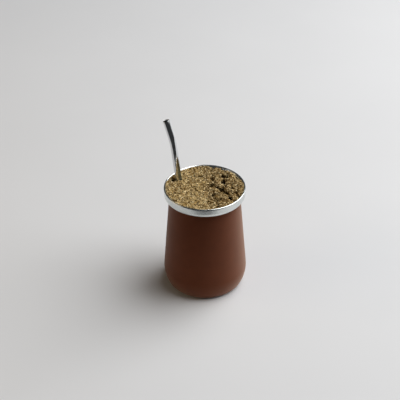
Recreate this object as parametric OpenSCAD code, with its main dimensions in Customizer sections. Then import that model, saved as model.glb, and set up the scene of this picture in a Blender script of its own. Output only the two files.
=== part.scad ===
// Mate cup: a brown steel cup with a bare steel collar, filled with ground yerba,
// and a bent steel drinking straw standing in it. Millimetres, +Z up.
// The origin lies on the table under the axis of the cup.

/* [Cup body] */
// Height from the table to the lip
cup_h = 112; // [92:0.5:135]
// Radius of the brown body at its neck, right under the collar
neck_r = 35; // [29:0.1:42]
// How far the belly stands out beyond the neck
belly_out = 7; // [5.6:0.1:8.5]
// Height of the widest part of the belly
belly_z = 18; // [15:0.5:22]
// Radius of the curve that rounds the belly
belly_round = 34.4; // [28:0.1:42]
// Radius of the round at the foot
foot_round = 6.7; // [5:0.1:8.1]
// Thickness of the brown base under the steel vessel
base_t = 3; // [2.4:0.1:4]

/* [Steel vessel and collar] */
// Thickness of the vessel's steel
vessel_t = 1; // [0.8:0.1:1.3]
// Thickness of the brown wall at the neck
neck_t = 1.1; // [0.9:0.1:1.4]
// Height of the collar
collar_h = 10; // [8:0.25:12]
// How far the collar stands out beyond the neck
collar_out = 5; // [4:0.1:6]
// Radius of the collar's round lower edge
collar_round = 3.8; // [3:0.1:4.6]
// Radius of the round on top of the lip
lip_round = 0.5; // [0.4:0.05:0.6]
// Radius of the flare that opens the bore up to the lip
flare_round = 18; // [15:0.5:22]
// Radius of the round in the bottom corner of the vessel
floor_round = 6; // [4:0.5:8]

/* [Straw] */
// Outer diameter of the tube
straw_d = 6.5; // [5.4:0.1:7.8]
// Thickness of the tube's wall
straw_t = 0.5; // [0.4:0.05:0.6]
// Length from the foot over the corner of the bend to the mouth
straw_l = 171; // [143:1:206]
// Length from the corner of the bend to the mouth
straw_top_l = 23.8; // [19:0.1:29]
// Angle from upright at which the lower part leans
straw_lean = 7.3; // [6:0.1:8.8]
// Angle of the bend
straw_bend = 11; // [9:0.5:14]
// Radius of the bend along the tube's axis
bend_round = 70; // [58:1:84]
// How much wider the tube is drawn in its bend
bend_swell = 0.02; // [0.02:0.01:0.1]
// How far the straight parts reach into the bend
bend_lap = 0.5; // [0.3:0.1:1]
// Direction in which the straw leans, counted from +X towards +Y
straw_azimuth = 148.5; // [0:0.5:360]
// Gap between the straw and the bore, where the bore starts to flare
straw_side_gap = 1; // [0.5:0.1:2]
// Gap between the straw's foot and the vessel's floor
straw_foot_gap = 0.3; // [0.2:0.1:1]

/* [Yerba] */
// How far the middle of the yerba lies below the lip
fill_gap = 1.9; // [1.5:0.1:2.4]
// Rise of the yerba across the cup, in mm of height for each mm
fill_slope = 0.03; // [0.01:0.005:0.036]
// Direction in which the yerba rises, counted from +X towards +Y
fill_azimuth = 15; // [0:5:360]
// Height of the low waves on the smooth side
wave_relief = 0.5; // [0.2:0.05:0.7]
// Height of the clumps on the coarse side
clump_relief = 1.4; // [0.8:0.1:1.7]
// Width of a clump
clump_w = 5.5; // [4.5:0.5:7]
// Distance between the points of the relief
relief_step = 2; // [1.75:0.25:3]

/* [Hidden] */
$fn = 144;

// Hollows scooped in the yerba, each as azimuth, share of the bore's radius, radius and depth
HOLLOWS = [
    [28, 0.23, 3.2, 2.4],
    [-12, 0.52, 3.4, 2.6],
    [-22, 0.70, 3.2, 2.4],
    [-41, 0.93, 3.2, 2.0],
    [81, 0.65, 2.2, 1.6],
    [46, 0.80, 3.0, 1.8],
    [27, 0.63, 2.6, 1.6],
    [-62, 0.48, 3.2, 2.0],
    [155, 1.02, 4.2, 1.8]
];
CLUMP_SEED = 7;
NOISE_N = 16;
noise_values = rands(-1, 1, NOISE_N * NOISE_N, CLUMP_SEED);

// Radii that follow from the neck
bore_r = neck_r - neck_t - vessel_t;
vessel_r = neck_r - neck_t;
collar_r = neck_r + collar_out;
belly_r = neck_r + belly_out;

// Outline of the body: a cone tangent to the belly's arc, and a foot arc inside that
neck_p = [neck_r, cup_h - collar_h];
belly_c = [belly_r - belly_round, belly_z];
neck_dir = neck_p - belly_c;
side_angle = atan2(neck_dir.y, neck_dir.x) - acos(belly_round / norm(neck_dir));
side_p = belly_c + belly_round * [cos(side_angle), sin(side_angle)];
foot_angle = -asin((belly_z - foot_round) / (belly_round - foot_round));
foot_dir = [cos(foot_angle), sin(foot_angle)];
foot_c = belly_c + (belly_round - foot_round) * foot_dir;
foot_p = belly_c + belly_round * foot_dir;

// Bore, flare and lip: the lip's round touches the flare's arc from inside
floor_z = base_t + vessel_t;
flare_x = bore_r + flare_round;
lip_c = [collar_r - lip_round, cup_h - lip_round];
flare_lip_l = flare_round - lip_round;
flare_z = lip_c.y - sqrt(flare_lip_l ^ 2 - (flare_x - lip_c.x) ^ 2);
flare_c = [flare_x, flare_z];
lip_p = flare_c + flare_round / flare_lip_l * (lip_c - flare_c);
vessel_round = floor_round + vessel_t;

// Straw: it leans in the upright plane through the cup's axis
straw_r = straw_d / 2;
foot_z = floor_z + straw_foot_gap + straw_r * sin(straw_lean);
neck_u = bore_r - straw_side_gap - straw_r / cos(straw_lean);
foot_u = neck_u - (flare_z - foot_z) * tan(straw_lean);
bend_l = bend_round * tan(straw_bend / 2);
low_l = straw_l - straw_top_l - bend_l;
top_l = straw_top_l - bend_l;

// Yerba: its relief is worked out on a square grid a little wider than the flare
relief_n = ceil(2 * (collar_r + relief_step) / relief_step);
relief_half = relief_n * relief_step / 2;
COARSE_START = -6;
COARSE_WIDTH = 18;
CLUMP_SINK = 0.4;
EDGE_CALM = 5;

function smooth(t) = let (s = min(max(t, 0), 1)) s * s * (3 - 2 * s);
function wrap(i) = i - NOISE_N * floor(i / NOISE_N);
function lattice(i, j) = noise_values[wrap(i) * NOISE_N + wrap(j)];
function mix(a, b, t) = a + (b - a) * t;
function noise(u, v) =
    let (i = floor(u), j = floor(v), s = smooth(u - i), t = smooth(v - j))
    mix(
        mix(lattice(i, j), lattice(i + 1, j), s),
        mix(lattice(i, j + 1), lattice(i + 1, j + 1), s),
        t
    );
function coarse(x, y) = smooth((x - COARSE_START) / COARSE_WIDTH);
function calm(r) = smooth((lip_p.x - r) / EDGE_CALM);
function hollow(p, h) =
    let (c = h[1] * bore_r * [cos(h[0]), sin(h[0])])
    h[3] * smooth(1 - norm(p - c) / h[2] / 1.5);
function hollows(p, i = 0) = i < len(HOLLOWS) ? hollow(p, HOLLOWS[i]) + hollows(p, i + 1) : 0;
function yerba_z(x, y) =
    let (
        r = norm([x, y]),
        level = cup_h - fill_gap + fill_slope * (x * cos(fill_azimuth) + y * sin(fill_azimuth)),
        waves = wave_relief * noise(x / clump_w / 2, y / clump_w / 2),
        clumps = clump_relief * coarse(x, y) * (noise(x / clump_w + 3, y / clump_w + 5) - CLUMP_SINK)
    )
    level + calm(r) * (waves + clumps) - hollows([x, y]);

// Outer form of the brown body
module body_outline() {
    polygon([[0, 0], [foot_c.x, 0], foot_p, side_p, neck_p, [0, neck_p.y]]);
    translate(foot_c) circle(foot_round);
    intersection() {
        translate(belly_c) circle(belly_round);
        translate([0, foot_p.y]) square([belly_r, side_p.y - foot_p.y]);
    }
}

// A round-cornered pot section from bottom to top, drawn from the axis outwards
module pot_outline(r, corner, bottom, top) {
    translate([0, bottom + corner]) square([r, top - bottom - corner]);
    translate([0, bottom]) square([r - corner, corner]);
    translate([r - corner, bottom + corner]) circle(corner);
}

// Space inside the vessel, from its floor up to the lip
module cavity_outline() {
    pot_outline(bore_r, floor_round, floor_z, flare_z);
    difference() {
        translate([0, flare_z]) square([lip_p.x, lip_p.y - flare_z]);
        translate(flare_c) circle(flare_round);
    }
}

// Outer form of the collar, with its round lower edge and its round lip
module collar_outline() {
    translate([0, neck_p.y]) square([collar_r - collar_round, collar_round]);
    translate([collar_r - collar_round, neck_p.y + collar_round]) circle(collar_round);
    translate([0, neck_p.y + collar_round]) square([collar_r, lip_c.y - neck_p.y - collar_round]);
    intersection() {
        translate([0, lip_c.y]) square([lip_c.x, lip_p.y - lip_c.y]);
        translate(flare_c) circle(flare_round);
    }
    translate(lip_c) circle(lip_round);
}

// Heap whose top is the yerba's surface and whose sides lie outside the vessel
module yerba_block() {
    row = relief_n + 1;
    top = [
        for (j = [0:relief_n], i = [0:relief_n])
            let (x = i * relief_step - relief_half, y = j * relief_step - relief_half)
            [x, y, yerba_z(x, y)]
    ];
    corners = [for (p = [[-1, -1], [1, -1], [1, 1], [-1, 1]]) [p.x * relief_half, p.y * relief_half, 0]];
    c = len(top);
    last = relief_n * row;
    top_faces = [
        for (j = [0:relief_n - 1], i = [0:relief_n - 1], k = [0, 1])
            let (a = j * row + i)
            k == 0 ? [a, a + row, a + row + 1] : [a, a + row + 1, a + 1]
    ];
    side_faces = [
        concat([c + 1, c], [for (i = [0:relief_n]) i]),
        concat([c + 2, c + 1], [for (j = [0:relief_n]) j * row + relief_n]),
        concat([c + 3, c + 2], [for (i = [relief_n:-1:0]) last + i]),
        concat([c, c + 3], [for (j = [relief_n:-1:0]) j * row])
    ];
    polyhedron(concat(top, corners), concat(top_faces, side_faces, [[c, c + 1, c + 2, c + 3]]));
}

// Local frame of the straw: its foot at the origin, its lower part along +Z, its bend towards +X
module straw_frame() {
    rotate([0, 0, straw_azimuth]) translate([foot_u, 0, foot_z]) rotate([0, straw_lean, 0]) children();
}

// Section of the tube
module tube_ring(swell = 0) {
    difference() {
        circle(straw_r + swell);
        circle(straw_r - straw_t + swell);
    }
}

// Powder-coated body of the cup
module cup_shell() {
    color("#43261a")
        rotate_extrude()
            difference() {
                body_outline();
                pot_outline(vessel_r, vessel_round, base_t, cup_h);
            }
}

// Inner vessel and collar, one piece of bare steel
module steel_vessel() {
    color("#b4b9b6")
        rotate_extrude()
            difference() {
                union() {
                    pot_outline(vessel_r, vessel_round, base_t, neck_p.y);
                    collar_outline();
                }
                cavity_outline();
            }
}

// Ground yerba that fills the vessel, cut round the straw
module yerba() {
    color("#96794a")
        difference() {
            intersection() {
                rotate_extrude() cavity_outline();
                yerba_block();
            }
            straw_frame() translate([0, 0, -vessel_round]) cylinder(h = low_l + vessel_round, r = straw_r);
        }
}

// Bent steel straw, open at both ends
module straw() {
    color("#8d9294")
        straw_frame() {
            linear_extrude(low_l + bend_lap) tube_ring();
            translate([bend_round, 0, low_l]) {
                rotate([90, 0, 0])
                    rotate([0, 0, 180 - straw_bend])
                        rotate_extrude(angle = straw_bend)
                            translate([bend_round, 0]) tube_ring(bend_swell);
                rotate([0, straw_bend, 0])
                    translate([-bend_round, 0, -bend_lap])
                        linear_extrude(top_l + bend_lap) tube_ring();
            }
        }
}

cup_shell();
steel_vessel();
yerba();
straw();
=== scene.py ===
"""Looks of a brown steel mate cup, filled with ground yerba, with a bent steel drinking straw.

Every length is in metres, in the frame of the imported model. MM turns a size in millimetres into metres.
"""

import math
from collections import namedtuple

import bpy
import numpy as np
from mathutils import Matrix, Vector, noise


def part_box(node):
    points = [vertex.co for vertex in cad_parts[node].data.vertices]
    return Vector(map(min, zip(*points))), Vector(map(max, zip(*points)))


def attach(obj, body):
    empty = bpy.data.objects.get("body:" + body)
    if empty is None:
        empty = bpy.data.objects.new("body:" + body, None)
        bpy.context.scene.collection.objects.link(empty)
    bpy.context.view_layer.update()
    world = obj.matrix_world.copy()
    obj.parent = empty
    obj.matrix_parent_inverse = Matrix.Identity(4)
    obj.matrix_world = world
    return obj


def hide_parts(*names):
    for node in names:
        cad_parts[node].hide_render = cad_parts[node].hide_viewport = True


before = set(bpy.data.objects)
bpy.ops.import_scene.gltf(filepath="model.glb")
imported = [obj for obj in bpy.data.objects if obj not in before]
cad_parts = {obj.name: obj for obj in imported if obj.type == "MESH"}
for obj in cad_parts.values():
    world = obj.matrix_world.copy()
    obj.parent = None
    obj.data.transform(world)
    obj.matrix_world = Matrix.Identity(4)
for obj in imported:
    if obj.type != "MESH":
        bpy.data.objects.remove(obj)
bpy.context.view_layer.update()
MM = 0.001

# ---------------------------------------------------------------- places from the frame

BASE_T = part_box("steel_vessel")[0].z
LIP_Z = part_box("steel_vessel")[1].z
NECK_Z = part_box("cup_shell")[1].z
FLOOR_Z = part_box("yerba")[0].z

# ---------------------------------------------------------------- sizes of the cup

COLLAR_R = 40.0 * MM
BELLY_R = 42.0 * MM
NECK_R = 35.0 * MM
BELLY_Z = 18.0 * MM
BELLY_ROUND = 34.4 * MM
FOOT_ROUND = 6.7 * MM
NECK_T = 1.1 * MM
VESSEL_T = 1.0 * MM
COLLAR_ROUND = 3.8 * MM
LIP_ROUND = 0.8 * MM
FLARE_ROUND = 18.0 * MM
FLOOR_ROUND = 6.0 * MM
COAT_EDGE = 0.5 * MM
SKIN = 0.01 * MM

VESSEL_R = NECK_R - NECK_T
BORE_R = VESSEL_R - VESSEL_T
FLARE_X = BORE_R + FLARE_ROUND
AROUND = 240

# ---------------------------------------------------------------- sizes of the straw

STRAW_R = 3.25 * MM
STRAW_T = 0.5 * MM
STRAW_LEN = 171.0 * MM
STRAW_TOP_LEN = 23.8 * MM
STRAW_LEAN = math.radians(7.3)
STRAW_BEND = math.radians(11.0)
BEND_ROUND = 70.0 * MM
STRAW_AZIMUTH = math.radians(148.5)
STRAW_SIDE_GAP = 1.0 * MM
STRAW_FOOT_GAP = 0.3 * MM
STRAW_SIDES = 64

# ---------------------------------------------------------------- the yerba's surface

FILL_GAP = 1.55 * MM
FILL_SLOPE = 0.005
FILL_AZIMUTH = math.radians(15)
GRAINS_R = 38.2 * MM

# Relief: slow waves all over, clumps and clods on the coarse side
WAVE_SIZE = 16 * MM
WAVE_RELIEF = 0.5 * MM
CLUMP_SIZE = 5.0 * MM
CLUMP_RELIEF = 2.6 * MM
CLUMP_MOST = 0.9 * MM
CLOD_SINK = 0.6 * MM

# Near the wall the yerba lies lower at the back right, and higher at the back left
WALL_START = 34.5 * MM
WALL_WIDTH = 3.5 * MM
MOAT_DEPTH = 0.9 * MM
MOAT_AZIMUTH = math.radians(45)
BANK_HEIGHT = 1.2 * MM
BANK_AZIMUTH = math.radians(130)

# The bed under the loose grains
CORE_SINK = 0.6 * MM
CORE_GRAIN = 1.6 * MM
CORE_RELIEF = 0.55 * MM
CORE_DEPTH = 9 * MM
CORE_RINGS = 120
CORE_SECTORS = 360

# Large hollows: azimuth in degrees, share of the bore's radius, radius and depth in mm
HOLLOWS = (
    (28, 0.23, 3.4, 5.0),
    (-12, 0.52, 3.4, 5.0),
    (-24, 0.71, 2.8, 4.2),
    (-41, 0.93, 3.4, 4.4),
    (81, 0.65, 2.2, 3.0),
    (46, 0.80, 3.2, 4.2),
    (27, 0.63, 3.2, 4.8),
    (5, 0.38, 2.6, 4.0),
    (100, 0.60, 1.8, 2.6),
    (-62, 0.48, 3.2, 3.6),
    (155, 1.06, 3.0, 3.0),
)
HOLLOW_SPREAD = 1.35

# ---------------------------------------------------------------- sizes of the studio

TABLE_HALF = 1.0
TABLE_FRONT = -0.18
TABLE_BACK = 1.3
CAMERA_PLACE = (-4.68 * MM, -764.6 * MM, 625.4 * MM)
CAMERA_PITCH = math.radians(34.7)
CAMERA_ROLL = math.radians(-0.52)
CAMERA_LENS = 85
LIGHT_TARGET = (0, 0, 60 * MM)


# ---------------------------------------------------------------- mesh helpers


def add_object(name, points, faces, smooth=True):
    """A mesh object from points and faces."""
    mesh = bpy.data.meshes.new(name)
    mesh.from_pydata(points, [], faces)
    mesh.validate()
    mesh.update()
    if smooth:
        mesh.shade_smooth()
    piece = bpy.data.objects.new(name, mesh)
    bpy.context.scene.collection.objects.link(piece)
    return piece


def arc(centre, radius, start, end, steps):
    """Points (r, z) on an arc, from start to end in radians, both ends included."""
    angles = [start + (end - start) * i / steps for i in range(steps + 1)]
    return [(centre[0] + radius * math.cos(a), centre[1] + radius * math.sin(a)) for a in angles]


def line(start, end, steps):
    """Points (r, z) on a straight line, without its two ends."""
    shares = [i / steps for i in range(1, steps)]
    return [(start[0] + (end[0] - start[0]) * s, start[1] + (end[1] - start[1]) * s) for s in shares]


def revolve(name, profile):
    """A closed surface of revolution. The profile runs from the axis out and back to the axis."""
    rings = profile[1:-1]
    points = [(0, 0, profile[0][1])]
    for r, z in rings:
        for k in range(AROUND):
            a = 2 * math.pi * k / AROUND
            points.append((r * math.cos(a), r * math.sin(a), z))
    points.append((0, 0, profile[-1][1]))
    end = len(points) - 1
    last = end - AROUND
    faces = []
    for k in range(AROUND):
        n = (k + 1) % AROUND
        faces.append((0, 1 + n, 1 + k))
        for low in range(1, last, AROUND):
            high = low + AROUND
            faces.append((low + k, low + n, high + n, high + k))
        faces.append((last + k, last + n, end))
    return add_object(name, points, faces)


def finish_piece(piece, material):
    """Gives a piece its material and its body."""
    piece.data.materials.append(material)
    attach(piece, "root")


# ---------------------------------------------------------------- materials


class Nodes:
    """A short way to build a node tree."""

    def __init__(self, name):
        self.material = bpy.data.materials.new(name)
        self.material.use_nodes = True
        self.tree = self.material.node_tree
        self.shader = self.tree.nodes["Principled BSDF"]

    def add(self, kind, inputs=None, **settings):
        """A node with its inputs linked or set."""
        node = self.tree.nodes.new("ShaderNode" + kind)
        for key, value in settings.items():
            setattr(node, key, value)
        for key, value in (inputs or {}).items():
            if isinstance(value, bpy.types.NodeSocket):
                self.tree.links.new(value, node.inputs[key])
            else:
                node.inputs[key].default_value = value
        return node

    def place(self, stretch=(1, 1, 1)):
        """The position on the object, stretched."""
        coordinates = self.add("TexCoord")
        mapping = self.add("Mapping", {"Vector": coordinates.outputs["Object"], "Scale": stretch})
        return mapping.outputs["Vector"]

    def noise(self, vector, scale, detail, roughness=0.5):
        """Noise of a given number of cells a metre."""
        inputs = {"Vector": vector, "Scale": scale, "Detail": detail, "Roughness": roughness}
        return self.add("TexNoise", inputs).outputs["Fac"]

    def ramp(self, value, stops):
        """A colour ramp with stops of (position, colour)."""
        node = self.add("ValToRGB", {"Fac": value})
        elements = node.color_ramp.elements
        while len(elements) < len(stops):
            elements.new(0.5)
        for element, (position, colour) in zip(elements, stops):
            element.position = position
            element.color = (*colour, 1)
        return node.outputs["Color"]

    def scaled(self, value, low, high):
        """A value from 0 to 1, spread from low to high."""
        node = self.add("MapRange", {"Value": value, "To Min": low, "To Max": high})
        return node.outputs["Result"]

    def spread(self, value, start, end):
        """0 at start, 1 at end, and held there outside them."""
        node = self.add("MapRange", {"Value": value, "From Min": start, "From Max": end})
        return node.outputs["Result"]

    def maths(self, operation, a, b):
        """One step of arithmetic on two values."""
        return self.add("Math", {0: a, 1: b}, operation=operation).outputs["Value"]

    def bump(self, height, distance, strength, normal=None):
        """Fine relief, on top of an earlier one if that is given as normal."""
        inputs = {"Height": height, "Distance": distance, "Strength": strength}
        if normal:
            inputs["Normal"] = normal
        return self.add("Bump", inputs).outputs["Normal"]

    def link(self, value, socket):
        self.tree.links.new(value, self.shader.inputs[socket])

    def set(self, **values):
        """Sets constant values on the shader's own sockets."""
        for key, value in values.items():
            self.shader.inputs[key.replace("_", " ")].default_value = value


def coat_material():
    """Matte brown powder coat: a fine orange-peel grain and a slight mottle."""
    n = Nodes("brown_coat")
    where = n.place()
    mottle = n.noise(where, 90, 4)
    n.link(n.ramp(mottle, [(0.3, (0.118, 0.0230, 0.0040)), (0.7, (0.136, 0.0270, 0.0050))]), "Base Color")
    n.link(n.scaled(n.noise(where, 1400, 2), 0.44, 0.54), "Roughness")
    peel = n.bump(n.noise(where, 2200, 2), 0.00004, 0.35)
    n.link(n.bump(n.noise(where, 420, 2), 0.00005, 0.2, peel), "Normal")
    n.set(Specular_IOR_Level=0.04, Sheen_Weight=0.45, Sheen_Roughness=0.5, Sheen_Tint=(1.0, 0.80, 0.64, 1))
    return n.material


def steel_material():
    """Bare steel of the collar and the vessel: satin, with fine lines that run round the cup."""
    n = Nodes("bare_steel")
    ringed = n.place((6, 6, 260))
    lines = n.noise(ringed, 30, 5, 0.6)
    cloud = n.noise(n.place(), 60, 3)
    n.link(n.ramp(cloud, [(0.3, (0.66, 0.69, 0.675)), (0.7, (0.74, 0.765, 0.75))]), "Base Color")
    n.link(n.scaled(lines, 0.18, 0.28), "Roughness")
    n.link(n.bump(lines, 0.00002, 0.25), "Normal")
    n.set(Metallic=1.0)
    return n.material


def straw_painted_reflection(n):
    """1 on the painted dark reflection of the yerba, low on the side of the straw that faces it, 0 elsewhere.
    """
    height = n.add("SeparateXYZ", {"Vector": n.place()}).outputs["Z"]
    normal = n.add("NewGeometry").outputs["Normal"]
    facing = n.add("SeparateXYZ", {"Vector": normal}).outputs["X"]
    low = n.spread(height, LIP_Z + 26 * MM, LIP_Z + 10 * MM)
    return n.maths("MULTIPLY", low, n.spread(facing, 0.0, 0.35))


def straw_material():
    """Polished steel of the straw, with faint drawing lines along the tube and a painted dark reflection of
    the yerba low on the side that faces it.
    """
    n = Nodes("polished_steel")
    lengthwise = n.place((240, 240, 8))
    lines = n.noise(lengthwise, 12, 4, 0.6)
    cloud = n.noise(n.place(), 150, 3)
    # Painted reflection: the tone drops to dark blue-grey low on the yerba side of the straw, where the yerba
    # is mirrored.
    tone = n.maths("SUBTRACT", n.scaled(cloud, 1.0, 1.3), straw_painted_reflection(n))
    stops = [(0.0, (0.26, 0.35, 0.45)), (0.8, (0.58, 0.60, 0.62)), (1.0, (0.68, 0.69, 0.70))]
    n.link(n.ramp(tone, stops), "Base Color")
    n.link(n.scaled(lines, 0.06, 0.13), "Roughness")
    n.link(n.bump(lines, 0.00001, 0.15), "Normal")
    n.set(Metallic=1.0)
    return n.material


def herb_material(name, tones):
    """Ground yerba: a tone of its own for each grain, with fine streaks on it."""
    n = Nodes(name)
    where = n.place()
    grain = n.add("NewGeometry").outputs["Random Per Island"]
    streaks = n.noise(where, 2600, 3)
    mixed = n.maths("ADD", grain, n.scaled(streaks, -0.18, 0.18))
    n.link(n.ramp(mixed, tones), "Base Color")
    n.link(n.bump(streaks, 0.0001, 0.4), "Normal")
    n.set(Roughness=0.8, Specular_IOR_Level=0.2)
    return n.material


def core_material():
    """The bed of the yerba under the loose grains: mixed dust with a random tone for each cell, coloured
    darker than the grains as painted shade for the gaps and hollows between them.
    """
    n = Nodes("yerba_bed")
    where = n.place()
    cells = n.add("TexVoronoi", {"Vector": where, "Scale": 900.0}).outputs["Color"]
    tone = n.add("SeparateColor", {"Color": cells}).outputs["Red"]
    # Painted shade: these tones are darker than the grains', so the bed reads as shaded where it shows.
    stops = [(0.0, (0.020, 0.011, 0.003)), (0.6, (0.065, 0.038, 0.011)), (1.0, (0.16, 0.105, 0.038))]
    n.link(n.ramp(tone, stops), "Base Color")
    n.link(n.bump(n.noise(where, 1500, 3), 0.0003, 0.6), "Normal")
    n.set(Roughness=0.85, Specular_IOR_Level=0.2)
    return n.material


def floor_material():
    """Plain pale grey table, with a faint cloud."""
    n = Nodes("studio_floor")
    cloud = n.noise(n.place(), 5, 3)
    n.link(n.ramp(cloud, [(0.3, (0.72, 0.725, 0.735)), (0.7, (0.74, 0.745, 0.755))]), "Base Color")
    n.set(Roughness=0.7, Specular_IOR_Level=0.2)
    return n.material


# ---------------------------------------------------------------- the cup


def body_profile():
    """The brown body: base, foot, belly, straight side and neck, then down inside to the axis."""
    belly_c = (BELLY_R - SKIN - BELLY_ROUND, BELLY_Z)
    rise = Vector((NECK_R - belly_c[0], NECK_Z - belly_c[1]))
    side = math.atan2(rise.y, rise.x) - math.acos(BELLY_ROUND / rise.length)
    turn = -math.asin((BELLY_Z - FOOT_ROUND) / (BELLY_ROUND - FOOT_ROUND))
    reach = BELLY_ROUND - FOOT_ROUND
    foot_c = (belly_c[0] + reach * math.cos(turn), belly_c[1] + reach * math.sin(turn))
    foot = arc(foot_c, FOOT_ROUND, -math.pi / 2, turn, 20)
    belly = arc(belly_c, BELLY_ROUND, turn, side, 24)
    neck_c = (NECK_R - COAT_EDGE, NECK_Z - COAT_EDGE)
    neck = arc(neck_c, COAT_EDGE, side, math.pi / 2, 8)
    inner = VESSEL_R + SKIN
    corner = FLOOR_ROUND + VESSEL_T
    pit = arc((inner - corner, BASE_T + corner), corner, 0, -math.pi / 2, 12)
    outside = line((0, 0), foot[0], 6) + foot + belly[1:] + line(belly[-1], neck[0], 16) + neck
    return [(0, 0)] + outside + [(inner, NECK_Z)] + pit + [(0, BASE_T)]


def vessel_profile():
    """The steel vessel: its outside up to the collar, round the lip and down the flare to the floor."""
    corner = FLOOR_ROUND + VESSEL_T
    lip_c = (COLLAR_R - SKIN - LIP_ROUND, LIP_Z - LIP_ROUND)
    reach = FLARE_ROUND - LIP_ROUND
    flare_c = (FLARE_X, lip_c[1] - math.sqrt(reach ** 2 - (FLARE_X - lip_c[0]) ** 2))
    lip_turn = math.atan2(lip_c[1] - flare_c[1], lip_c[0] - flare_c[0])
    under_c = (COLLAR_R - SKIN - COLLAR_ROUND, NECK_Z + COLLAR_ROUND)
    under = arc(under_c, COLLAR_ROUND, -math.pi / 2, 0, 16)
    lip = arc(lip_c, LIP_ROUND, 0, lip_turn, 12)
    flare = arc(flare_c, FLARE_ROUND, lip_turn, math.pi, 28)
    base = arc((VESSEL_R - corner, BASE_T + corner), corner, -math.pi / 2, 0, 12)
    floor = arc((BORE_R - FLOOR_ROUND, FLOOR_Z + FLOOR_ROUND), FLOOR_ROUND, 0, -math.pi / 2, 12)
    outside = base + [(VESSEL_R, NECK_Z)] + under + line(under[-1], lip[0], 5) + lip
    return [(0, BASE_T)] + outside + flare[1:] + floor + [(0, FLOOR_Z)]


def make_cup():
    body = revolve("cup_body", body_profile())
    finish_piece(body, coat_material())
    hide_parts("cup_shell")
    vessel = revolve("cup_vessel", vessel_profile())
    finish_piece(vessel, steel_material())
    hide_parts("steel_vessel")


# ---------------------------------------------------------------- the straw


def flare_centre_z():
    """Height at which the bore starts to flare."""
    across = FLARE_X - (COLLAR_R - LIP_ROUND)
    return LIP_Z - LIP_ROUND - math.sqrt((FLARE_ROUND - LIP_ROUND) ** 2 - across ** 2)


def straw_frame():
    """Local frame of the straw: foot at the origin, lower part along +Z, bend towards +X."""
    foot_z = FLOOR_Z + STRAW_FOOT_GAP + STRAW_R * math.sin(STRAW_LEAN)
    neck_u = BORE_R - STRAW_SIDE_GAP - STRAW_R / math.cos(STRAW_LEAN)
    foot_u = neck_u - (flare_centre_z() - foot_z) * math.tan(STRAW_LEAN)
    turn = Matrix.Rotation(STRAW_AZIMUTH, 4, "Z")
    move = Matrix.Translation((foot_u, 0, foot_z))
    lean = Matrix.Rotation(STRAW_LEAN, 4, "Y")
    return turn @ move @ lean


def straw_path():
    """Places along the axis in the straw's own frame, as (x, z, angle from the lower part)."""
    tangent = BEND_ROUND * math.tan(STRAW_BEND / 2)
    low = STRAW_LEN - STRAW_TOP_LEN - tangent
    top = STRAW_TOP_LEN - tangent
    path = [(0.0, low * i / 12, 0.0) for i in range(12)]
    for i in range(25):
        a = STRAW_BEND * i / 24
        path.append((BEND_ROUND * (1 - math.cos(a)), low + BEND_ROUND * math.sin(a), a))
    x, z, a = path[-1]
    for i in range(1, 7):
        length = top * i / 6
        path.append((x + length * math.sin(a), z + length * math.cos(a), a))
    return path


def straw_rim(end, outward):
    """Rings (x, z, angle, radius) round the rounded edge of an open end, from outside to inside.

    outward is 1 at the mouth and -1 at the foot."""
    x, z, a = end
    edge = STRAW_T / 2
    rings = []
    for i in range(9):
        t = math.pi * i / 8
        back = -outward * edge * (1 - math.sin(t))
        radius = STRAW_R - edge + edge * math.cos(t)
        rings.append((x + back * math.sin(a), z + back * math.cos(a), a, radius))
    return rings


def straw_rings():
    """Every ring of the tube: up outside, round the mouth, down inside and round the foot."""
    path = straw_path()
    outside = [(x, z, a, STRAW_R) for x, z, a in path[1:-1]]
    inside = [(x, z, a, STRAW_R - STRAW_T) for x, z, a in reversed(path[1:-1])]
    return outside + straw_rim(path[-1], 1) + inside + straw_rim(path[0], -1)[::-1]


def make_straw():
    place = straw_frame()
    rings = straw_rings()
    points = []
    for x, z, a, radius in rings:
        for k in range(STRAW_SIDES):
            t = 2 * math.pi * k / STRAW_SIDES
            across = radius * math.cos(t)
            point = Vector((x + across * math.cos(a), radius * math.sin(t), z - across * math.sin(a)))
            points.append(tuple(place @ point))
    faces = []
    for j in range(len(rings)):
        low = j * STRAW_SIDES
        high = ((j + 1) % len(rings)) * STRAW_SIDES
        for k in range(STRAW_SIDES):
            n = (k + 1) % STRAW_SIDES
            faces.append((low + k, low + n, high + n, high + k))
    straw = add_object("straw_tube", points, faces)
    finish_piece(straw, straw_material())
    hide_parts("straw")


# ---------------------------------------------------------------- the yerba


def smooth(t):
    """An even step from 0 to 1 while t goes from 0 to 1."""
    s = np.clip(t, 0, 1)
    return s * s * (3 - 2 * s)


def fractal(x, y, scale, octaves, seed):
    """Layered noise at each (x, y), about -1 to 1, with cells of the given size."""
    out = np.empty(len(x))
    for i in range(len(x)):
        out[i] = noise.fractal(Vector((x[i] / scale, y[i] / scale, seed)), 1.0, 2.0, octaves)
    return out


def coarse_share(x, y):
    """0 on the smooth side, 1 on the coarse side."""
    edge = fractal(x, y, 14 * MM, 2, 3.7) * 5 * MM
    return smooth((x + edge + 4 * MM) / (12 * MM))


def wall_r(z):
    """Radius of the vessel's inside at height z in the flare."""
    rise = np.clip(z - flare_centre_z(), 0, FLARE_ROUND * 0.999)
    return FLARE_X - np.sqrt(FLARE_ROUND ** 2 - rise ** 2)


def fill_level(x, y):
    """Height of the yerba before any relief."""
    return LIP_Z - FILL_GAP + FILL_SLOPE * (x * math.cos(FILL_AZIMUTH) + y * math.sin(FILL_AZIMUTH))


def clods(count=90):
    """Middle, radius and height of the clods on the coarse side."""
    rng = np.random.default_rng(5)
    r = 37 * MM * np.sqrt(rng.random(count))
    a = rng.uniform(-2.2, 2.2, count)
    radius = rng.uniform(1.8, 3.8, count) * MM
    return r * np.cos(a), r * np.sin(a), radius, radius * rng.uniform(0.35, 0.6, count)


CLODS = clods()


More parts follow.
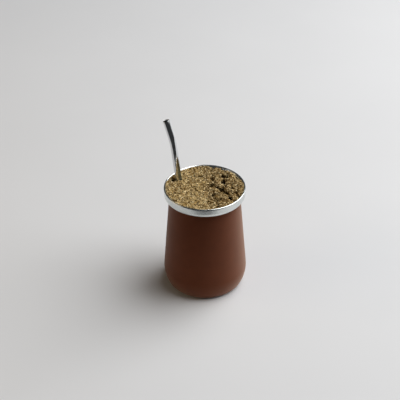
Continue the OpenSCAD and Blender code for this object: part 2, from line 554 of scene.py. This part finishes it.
def pits(count=34):
    """Middle, radius and depth of the hollows: the large ones, and small ones on the coarse side."""
    rng = np.random.default_rng(8)
    found = []
    for azimuth, share, radius, depth in HOLLOWS:
        a = math.radians(azimuth)
        r = share * BORE_R
        found.append((r * math.cos(a), r * math.sin(a), radius * HOLLOW_SPREAD * MM, depth * MM))
    for _ in range(count):
        r = 35 * MM * math.sqrt(rng.uniform(0.02, 1))
        a = rng.uniform(-1.7, 1.9)
        size = rng.uniform(1.4, 2.6) * MM
        found.append((r * math.cos(a), r * math.sin(a), size, size * rng.uniform(1.1, 1.9)))
    return found


PITS = pits()


def clod_height(x, y):
    """Rounded clods of pressed yerba; where they meet, the higher one shows."""
    best = np.zeros_like(x)
    for cx, cy, radius, height in zip(*CLODS):
        away = ((x - cx) ** 2 + (y - cy) ** 2) / radius ** 2
        best = np.maximum(best, height * np.sqrt(np.clip(1 - away, 0, 1)))
    return best - CLOD_SINK


def surface_z(x, y):
    """Height of the yerba's surface, without the grains."""
    r, around = np.hypot(x, y), np.arctan2(y, x)
    calm = 0.2 + 0.8 * smooth((38 * MM - r) / (5 * MM))
    coarse = coarse_share(x, y)
    waves = fractal(x, y, WAVE_SIZE, 2, 0.3) * WAVE_RELIEF
    clumps = (fractal(x, y, CLUMP_SIZE, 3, 5.1) - 0.12) * CLUMP_RELIEF * coarse
    z = fill_level(x, y) + calm * (waves + np.minimum(clumps, CLUMP_MOST))
    z += clod_height(x, y) * coarse
    for cx, cy, radius, depth in PITS:
        z -= depth * smooth(1 - np.hypot(x - cx, y - cy) / radius)
    near_wall = smooth((r - WALL_START) / WALL_WIDTH)
    z -= MOAT_DEPTH * near_wall * smooth(0.5 + np.cos(around - MOAT_AZIMUTH))
    return z + BANK_HEIGHT * near_wall * smooth(3 * np.cos(around - BANK_AZIMUTH) - 1.5)


def depth_below(x, y):
    """How far the surface lies below the level, in mm."""
    return (fill_level(x, y) - surface_z(x, y)) / MM


def core_points():
    """Points of the bed: its middle, rings out into the wall, one ring deep down and the middle there."""
    radii = np.linspace(0, 1, CORE_RINGS + 1)[1:]
    angles = np.arange(CORE_SECTORS) * 2 * math.pi / CORE_SECTORS
    full_r = float(wall_r(LIP_Z - FILL_GAP)) + 1.2 * MM
    r, a = np.meshgrid(radii * full_r, angles, indexing="ij")
    x, y = (r * np.cos(a)).ravel(), (r * np.sin(a)).ravel()
    z = surface_z(x, y) - CORE_SINK + fractal(x, y, CORE_GRAIN, 3, 9.2) * CORE_RELIEF
    axis = np.zeros(1)
    points = [(0.0, 0.0, float(surface_z(axis, axis)[0]) - CORE_SINK)]
    points += zip(x.tolist(), y.tolist(), z.tolist())
    deep = LIP_Z - CORE_DEPTH
    deep_r = float(wall_r(deep)) - 0.2 * MM
    points += [(deep_r * math.cos(t), deep_r * math.sin(t), deep) for t in angles.tolist()]
    return points + [(0.0, 0.0, deep)]


def make_core():
    """The bed of yerba: a polar net, fine enough to carry the relief of single grains."""
    points = core_points()
    bottom = len(points) - 1
    faces = []
    for k in range(CORE_SECTORS):
        n = (k + 1) % CORE_SECTORS
        faces.append((0, 1 + k, 1 + n))
        for j in range(CORE_RINGS):
            inner = 1 + j * CORE_SECTORS
            outer = inner + CORE_SECTORS
            faces.append((inner + k, outer + k, outer + n, inner + n))
        faces.append((outer + k, bottom, outer + n))
    core = add_object("yerba_bed", points, faces)
    finish_piece(core, core_material())
    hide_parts("yerba")


def scatter(rng, count, keep):
    """Random places on the surface, as many as count, where keep(x, y, draw) is true."""
    xs, ys = np.empty(0), np.empty(0)
    while len(xs) < count:
        r = GRAINS_R * np.sqrt(rng.random(count))
        a = rng.random(count) * 2 * math.pi
        x, y = r * np.cos(a), r * np.sin(a)
        ok = keep(x, y, rng.random(count))
        xs, ys = np.concatenate([xs, x[ok]]), np.concatenate([ys, y[ok]])
    return xs[:count], ys[:count]


def clear_of_straw(x, y):
    """True where a grain on the surface lies outside the straw."""
    place = straw_frame()
    foot = place @ Vector((0, 0, 0))
    up = (place @ Vector((0, 0, 1))) - foot
    t = (LIP_Z - FILL_GAP - foot.z) / up.z
    cx, cy = foot.x + up.x * t, foot.y + up.y * t
    return np.hypot(x - cx, y - cy) > STRAW_R + 0.5 * MM


def turned(rng, count, tilt):
    """Rotation matrices: any heading, and a tilt from flat of about the given angle."""
    heading = rng.random(count) * 2 * math.pi
    lean = rng.normal(0, tilt, count)
    roll = rng.normal(0, tilt, count)
    ch, sh = np.cos(heading), np.sin(heading)
    cl, sl = np.cos(lean), np.sin(lean)
    cr, sr = np.cos(roll), np.sin(roll)
    zero, one = np.zeros(count), np.ones(count)
    rz = np.stack([ch, -sh, zero, sh, ch, zero, zero, zero, one], 1).reshape(-1, 3, 3)
    ry = np.stack([cl, zero, sl, zero, one, zero, -sl, zero, cl], 1).reshape(-1, 3, 3)
    rx = np.stack([one, zero, zero, zero, cr, -sr, zero, sr, cr], 1).reshape(-1, 3, 3)
    return rz @ ry @ rx


def chip_form():
    """A flat six-sided chip of leaf, slightly cupped, one unit across."""
    ring = [(math.cos(a), math.sin(a)) for a in [math.pi * i / 3 for i in range(6)]]
    top = [(x * 0.5, y * 0.5, 0.5 + 0.3 * x * x) for x, y in ring]
    low = [(x * 0.5, y * 0.5, -0.5 + 0.3 * x * x) for x, y in ring]
    faces = [(0, 1, 2), (0, 2, 3), (0, 3, 5), (3, 4, 5)]
    under = [(6 + c, 6 + b, 6 + a) for a, b, c in faces]
    sides = []
    for i in range(6):
        n = (i + 1) % 6
        sides += [(i, 6 + i, 6 + n), (i, 6 + n, n)]
    return top + low, faces + under + sides


def speck_form():
    """A rough eight-sided speck, one unit across."""
    points = [(0.5, 0, 0), (-0.5, 0, 0), (0, 0.5, 0), (0, -0.5, 0), (0, 0, 0.5), (0, 0, -0.5)]
    faces = [(0, 2, 4), (2, 1, 4), (1, 3, 4), (3, 0, 4), (2, 0, 5), (1, 2, 5), (3, 1, 5), (0, 3, 5)]
    return points, faces


def stem_form():
    """A broken piece of stem: a five-sided rod in two stretches, one unit long."""
    points = []
    for x, lift in ((-0.5, 0.0), (0.0, 0.35), (0.5, 0.0)):
        for i in range(5):
            a = 2 * math.pi * i / 5
            points.append((x, 0.5 * math.cos(a), 0.5 * math.sin(a) + lift))
    faces = []
    for j in (0, 5):
        for i in range(5):
            n = (i + 1) % 5
            faces += [(j + i, j + n, j + 5 + n), (j + i, j + 5 + n, j + 5 + i)]
    faces += [(0, 2, 1), (0, 3, 2), (0, 4, 3), (10, 11, 12), (10, 12, 13), (10, 13, 14)]
    return points, faces


def lump_form():
    """A twenty-faced lump, one unit across."""
    g = (1 + math.sqrt(5)) / 2
    points = [(-1, g, 0), (1, g, 0), (-1, -g, 0), (1, -g, 0), (0, -1, g), (0, 1, g)]
    points += [(0, -1, -g), (0, 1, -g), (g, 0, -1), (g, 0, 1), (-g, 0, -1), (-g, 0, 1)]
    size = 2 * math.hypot(1, g)
    faces = [(0, 11, 5), (0, 5, 1), (0, 1, 7), (0, 7, 10), (0, 10, 11), (1, 5, 9), (5, 11, 4)]
    faces += [(11, 10, 2), (10, 7, 6), (7, 1, 8), (3, 9, 4), (3, 4, 2), (3, 2, 6), (3, 6, 8)]
    faces += [(3, 8, 9), (4, 9, 5), (2, 4, 11), (6, 2, 10), (8, 6, 7), (9, 8, 1)]
    return [tuple(c / size for c in point) for point in points], faces


# The lighter grains keep out of the deeper hollows, where the darker bed shows as painted shade.
def fine_place(x, y, draw):
    return clear_of_straw(x, y) & (draw > 0.85 * coarse_share(x, y)) & (depth_below(x, y) < 1.6)


def coarse_place(x, y, draw):
    return clear_of_straw(x, y) & (draw < 0.15 + coarse_share(x, y)) & (depth_below(x, y) < 0.9)


def lump_place(x, y, draw):
    return clear_of_straw(x, y) & (draw < coarse_share(x, y)) & (depth_below(x, y) < 0.7)


def dust_place(x, y, draw):
    return clear_of_straw(x, y) & (depth_below(x, y) < 1.2 + draw)


# Dark chips: a quarter of the draws are kept anywhere as dark bits of leaf. Three quarters are kept where the
# surface lies over 0.8 mm below the level, and these extra chips in the hollows are painted shade.
def dark_place(x, y, draw):
    return clear_of_straw(x, y) & (draw < 0.25 + 0.5 * (depth_below(x, y) > 0.8))


# A kind of grain: the rule for its places, its length, its width as a share of the length, its height and
# its lift over the surface in mm, its tilt in radians, how dented it is, and its tones from dark to light
Kind = namedtuple("Kind", "name form count keep length width height lift tilt dents tones")

KINDS = (
    Kind(
        "yerba_dust", speck_form, 23000, dust_place,
        (0.35, 0.85), (0.6, 1.0), (0.3, 0.8), (-0.5, 0.2), 1.0, 0.18,
        [(0.0, (0.16, 0.094, 0.022)), (0.5, (0.48, 0.328, 0.118)), (1.0, (0.80, 0.60, 0.28))],
    ),
    Kind(
        "yerba_fine", chip_form, 9500, fine_place,
        (0.7, 1.5), (0.5, 0.9), (0.15, 0.4), (-0.4, 0.35), 0.6, 0.18,
        [(0.0, (0.22, 0.130, 0.030)), (0.4, (0.66, 0.465, 0.180)), (1.0, (0.96, 0.80, 0.46))],
    ),
    Kind(
        "yerba_leaf", chip_form, 5000, coarse_place,
        (1.2, 2.8), (0.4, 0.8), (0.2, 0.45), (-0.3, 0.6), 0.7, 0.18,
        [(0.0, (0.09, 0.048, 0.010)), (0.4, (0.39, 0.248, 0.083)), (1.0, (0.94, 0.77, 0.44))],
    ),
    Kind(
        "yerba_lumps", lump_form, 2600, lump_place,
        (1.0, 2.2), (0.6, 0.9), (0.8, 1.6), (-0.4, 0.4), 0.8, 0.18,
        [(0.0, (0.045, 0.023, 0.006)), (0.5, (0.28, 0.168, 0.053)), (1.0, (0.94, 0.77, 0.44))],
    ),
    # Dark bits of leaf, gathered in the hollows as painted shade.
    Kind(
        "yerba_dark", chip_form, 4200, dark_place,
        (0.7, 1.9), (0.4, 0.8), (0.2, 0.5), (-0.3, 0.3), 0.7, 0.18,
        [(0.0, (0.025, 0.013, 0.003)), (1.0, (0.11, 0.062, 0.018))],
    ),
    Kind(
        "yerba_stems", stem_form, 140, fine_place,
        (1.8, 3.6), (0.18, 0.3), (0.4, 0.7), (0.0, 0.35), 0.25, 0.05,
        [(0.0, (0.42, 0.30, 0.13)), (1.0, (0.72, 0.60, 0.36))],
    ),
)


def make_kind(rng, kind):
    """One piece of all grains of a kind, each with its own place, size, turn and dents."""
    count = kind.count
    x, y = scatter(rng, count, kind.keep)
    places = np.stack([x, y, surface_z(x, y) + rng.uniform(*kind.lift, count) * MM], 1)
    length = rng.uniform(*kind.length, count)
    width = length * rng.uniform(*kind.width, count)
    sizes = np.stack([length, width, rng.uniform(*kind.height, count)], 1) * MM
    turns = turned(rng, count, kind.tilt)
    points, faces = kind.form()
    corners = len(points)
    grains = np.array(points) + rng.normal(0, kind.dents, (count, corners, 3))
    grains = np.einsum("nij,nkj->nki", turns, grains * sizes[:, None, :]) + places[:, None, :]
    triangles = np.array(faces) + (np.arange(count) * corners)[:, None, None]
    piece = add_object(
        kind.name, grains.reshape(-1, 3).tolist(), triangles.reshape(-1, 3).tolist(), smooth=False
    )
    finish_piece(piece, herb_material(kind.name, kind.tones))


def make_grains():
    rng = np.random.default_rng(11)
    for kind in KINDS:
        make_kind(rng, kind)


# ---------------------------------------------------------------- studio


def make_floor():
    """The table, plain and pale. It ends in front, just outside the camera's view."""
    left, right = -TABLE_HALF, TABLE_HALF
    corners = [(left, TABLE_FRONT, 0), (right, TABLE_FRONT, 0), (right, TABLE_BACK, 0), (left, TABLE_BACK, 0)]
    floor = add_object("studio_floor", corners, [(0, 1, 2, 3)])
    floor.data.materials.append(floor_material())


def area_light(name, place, size, power, colour=(1, 1, 1)):
    """A soft box that faces the cup."""
    data = bpy.data.lights.new(name, "AREA")
    data.shape = "RECTANGLE"
    data.size, data.size_y = size
    data.energy = power
    data.color = colour
    light = bpy.data.objects.new(name, data)
    away = (Vector(place) - Vector(LIGHT_TARGET)).normalized()
    side = Vector((0, 0, 1)).cross(away).normalized()
    turn = Matrix((side, away.cross(side), away)).transposed().to_4x4()
    light.matrix_world = Matrix.Translation(place) @ turn
    bpy.context.scene.collection.objects.link(light)


def make_lights():
    """A large key from the upper right, a low one beside it and a warm fill from the left."""
    area_light("key", (1.20, 0.40, 1.75), (2.4, 2.2), 60)
    area_light("side", (1.5, 0.35, 0.75), (2.2, 1.3), 7)
    area_light("fill", (-1.2, -0.15, 0.5), (0.8, 0.8), 2.4, (1.0, 0.76, 0.45))


def make_world():
    world = bpy.data.worlds.new("studio")
    world.use_nodes = True
    background = world.node_tree.nodes["Background"]
    background.inputs["Color"].default_value = (0.93, 0.96, 1.0, 1)
    background.inputs["Strength"].default_value = 0.04
    bpy.context.scene.world = world
    bpy.context.scene.view_settings.view_transform = "Standard"


def make_camera():
    """The camera looks down on the cup from the front, a little to its left."""
    forward = Vector((0, math.cos(CAMERA_PITCH), -math.sin(CAMERA_PITCH)))
    level = Vector((1, 0, 0))
    upright = level.cross(forward)
    right = math.cos(CAMERA_ROLL) * level + math.sin(CAMERA_ROLL) * upright
    up = math.cos(CAMERA_ROLL) * upright - math.sin(CAMERA_ROLL) * level
    turn = Matrix((right, up, -forward)).transposed().to_4x4()
    data = bpy.data.cameras.new("camera")
    data.lens = CAMERA_LENS
    data.sensor_width = 36
    data.clip_start, data.clip_end = 0.01, 20
    camera = bpy.data.objects.new("camera", data)
    camera.matrix_world = Matrix.Translation(CAMERA_PLACE) @ turn
    bpy.context.scene.collection.objects.link(camera)
    bpy.context.scene.camera = camera


make_camera()
make_floor()
make_lights()
make_world()
make_cup()
make_straw()
make_core()
make_grains()
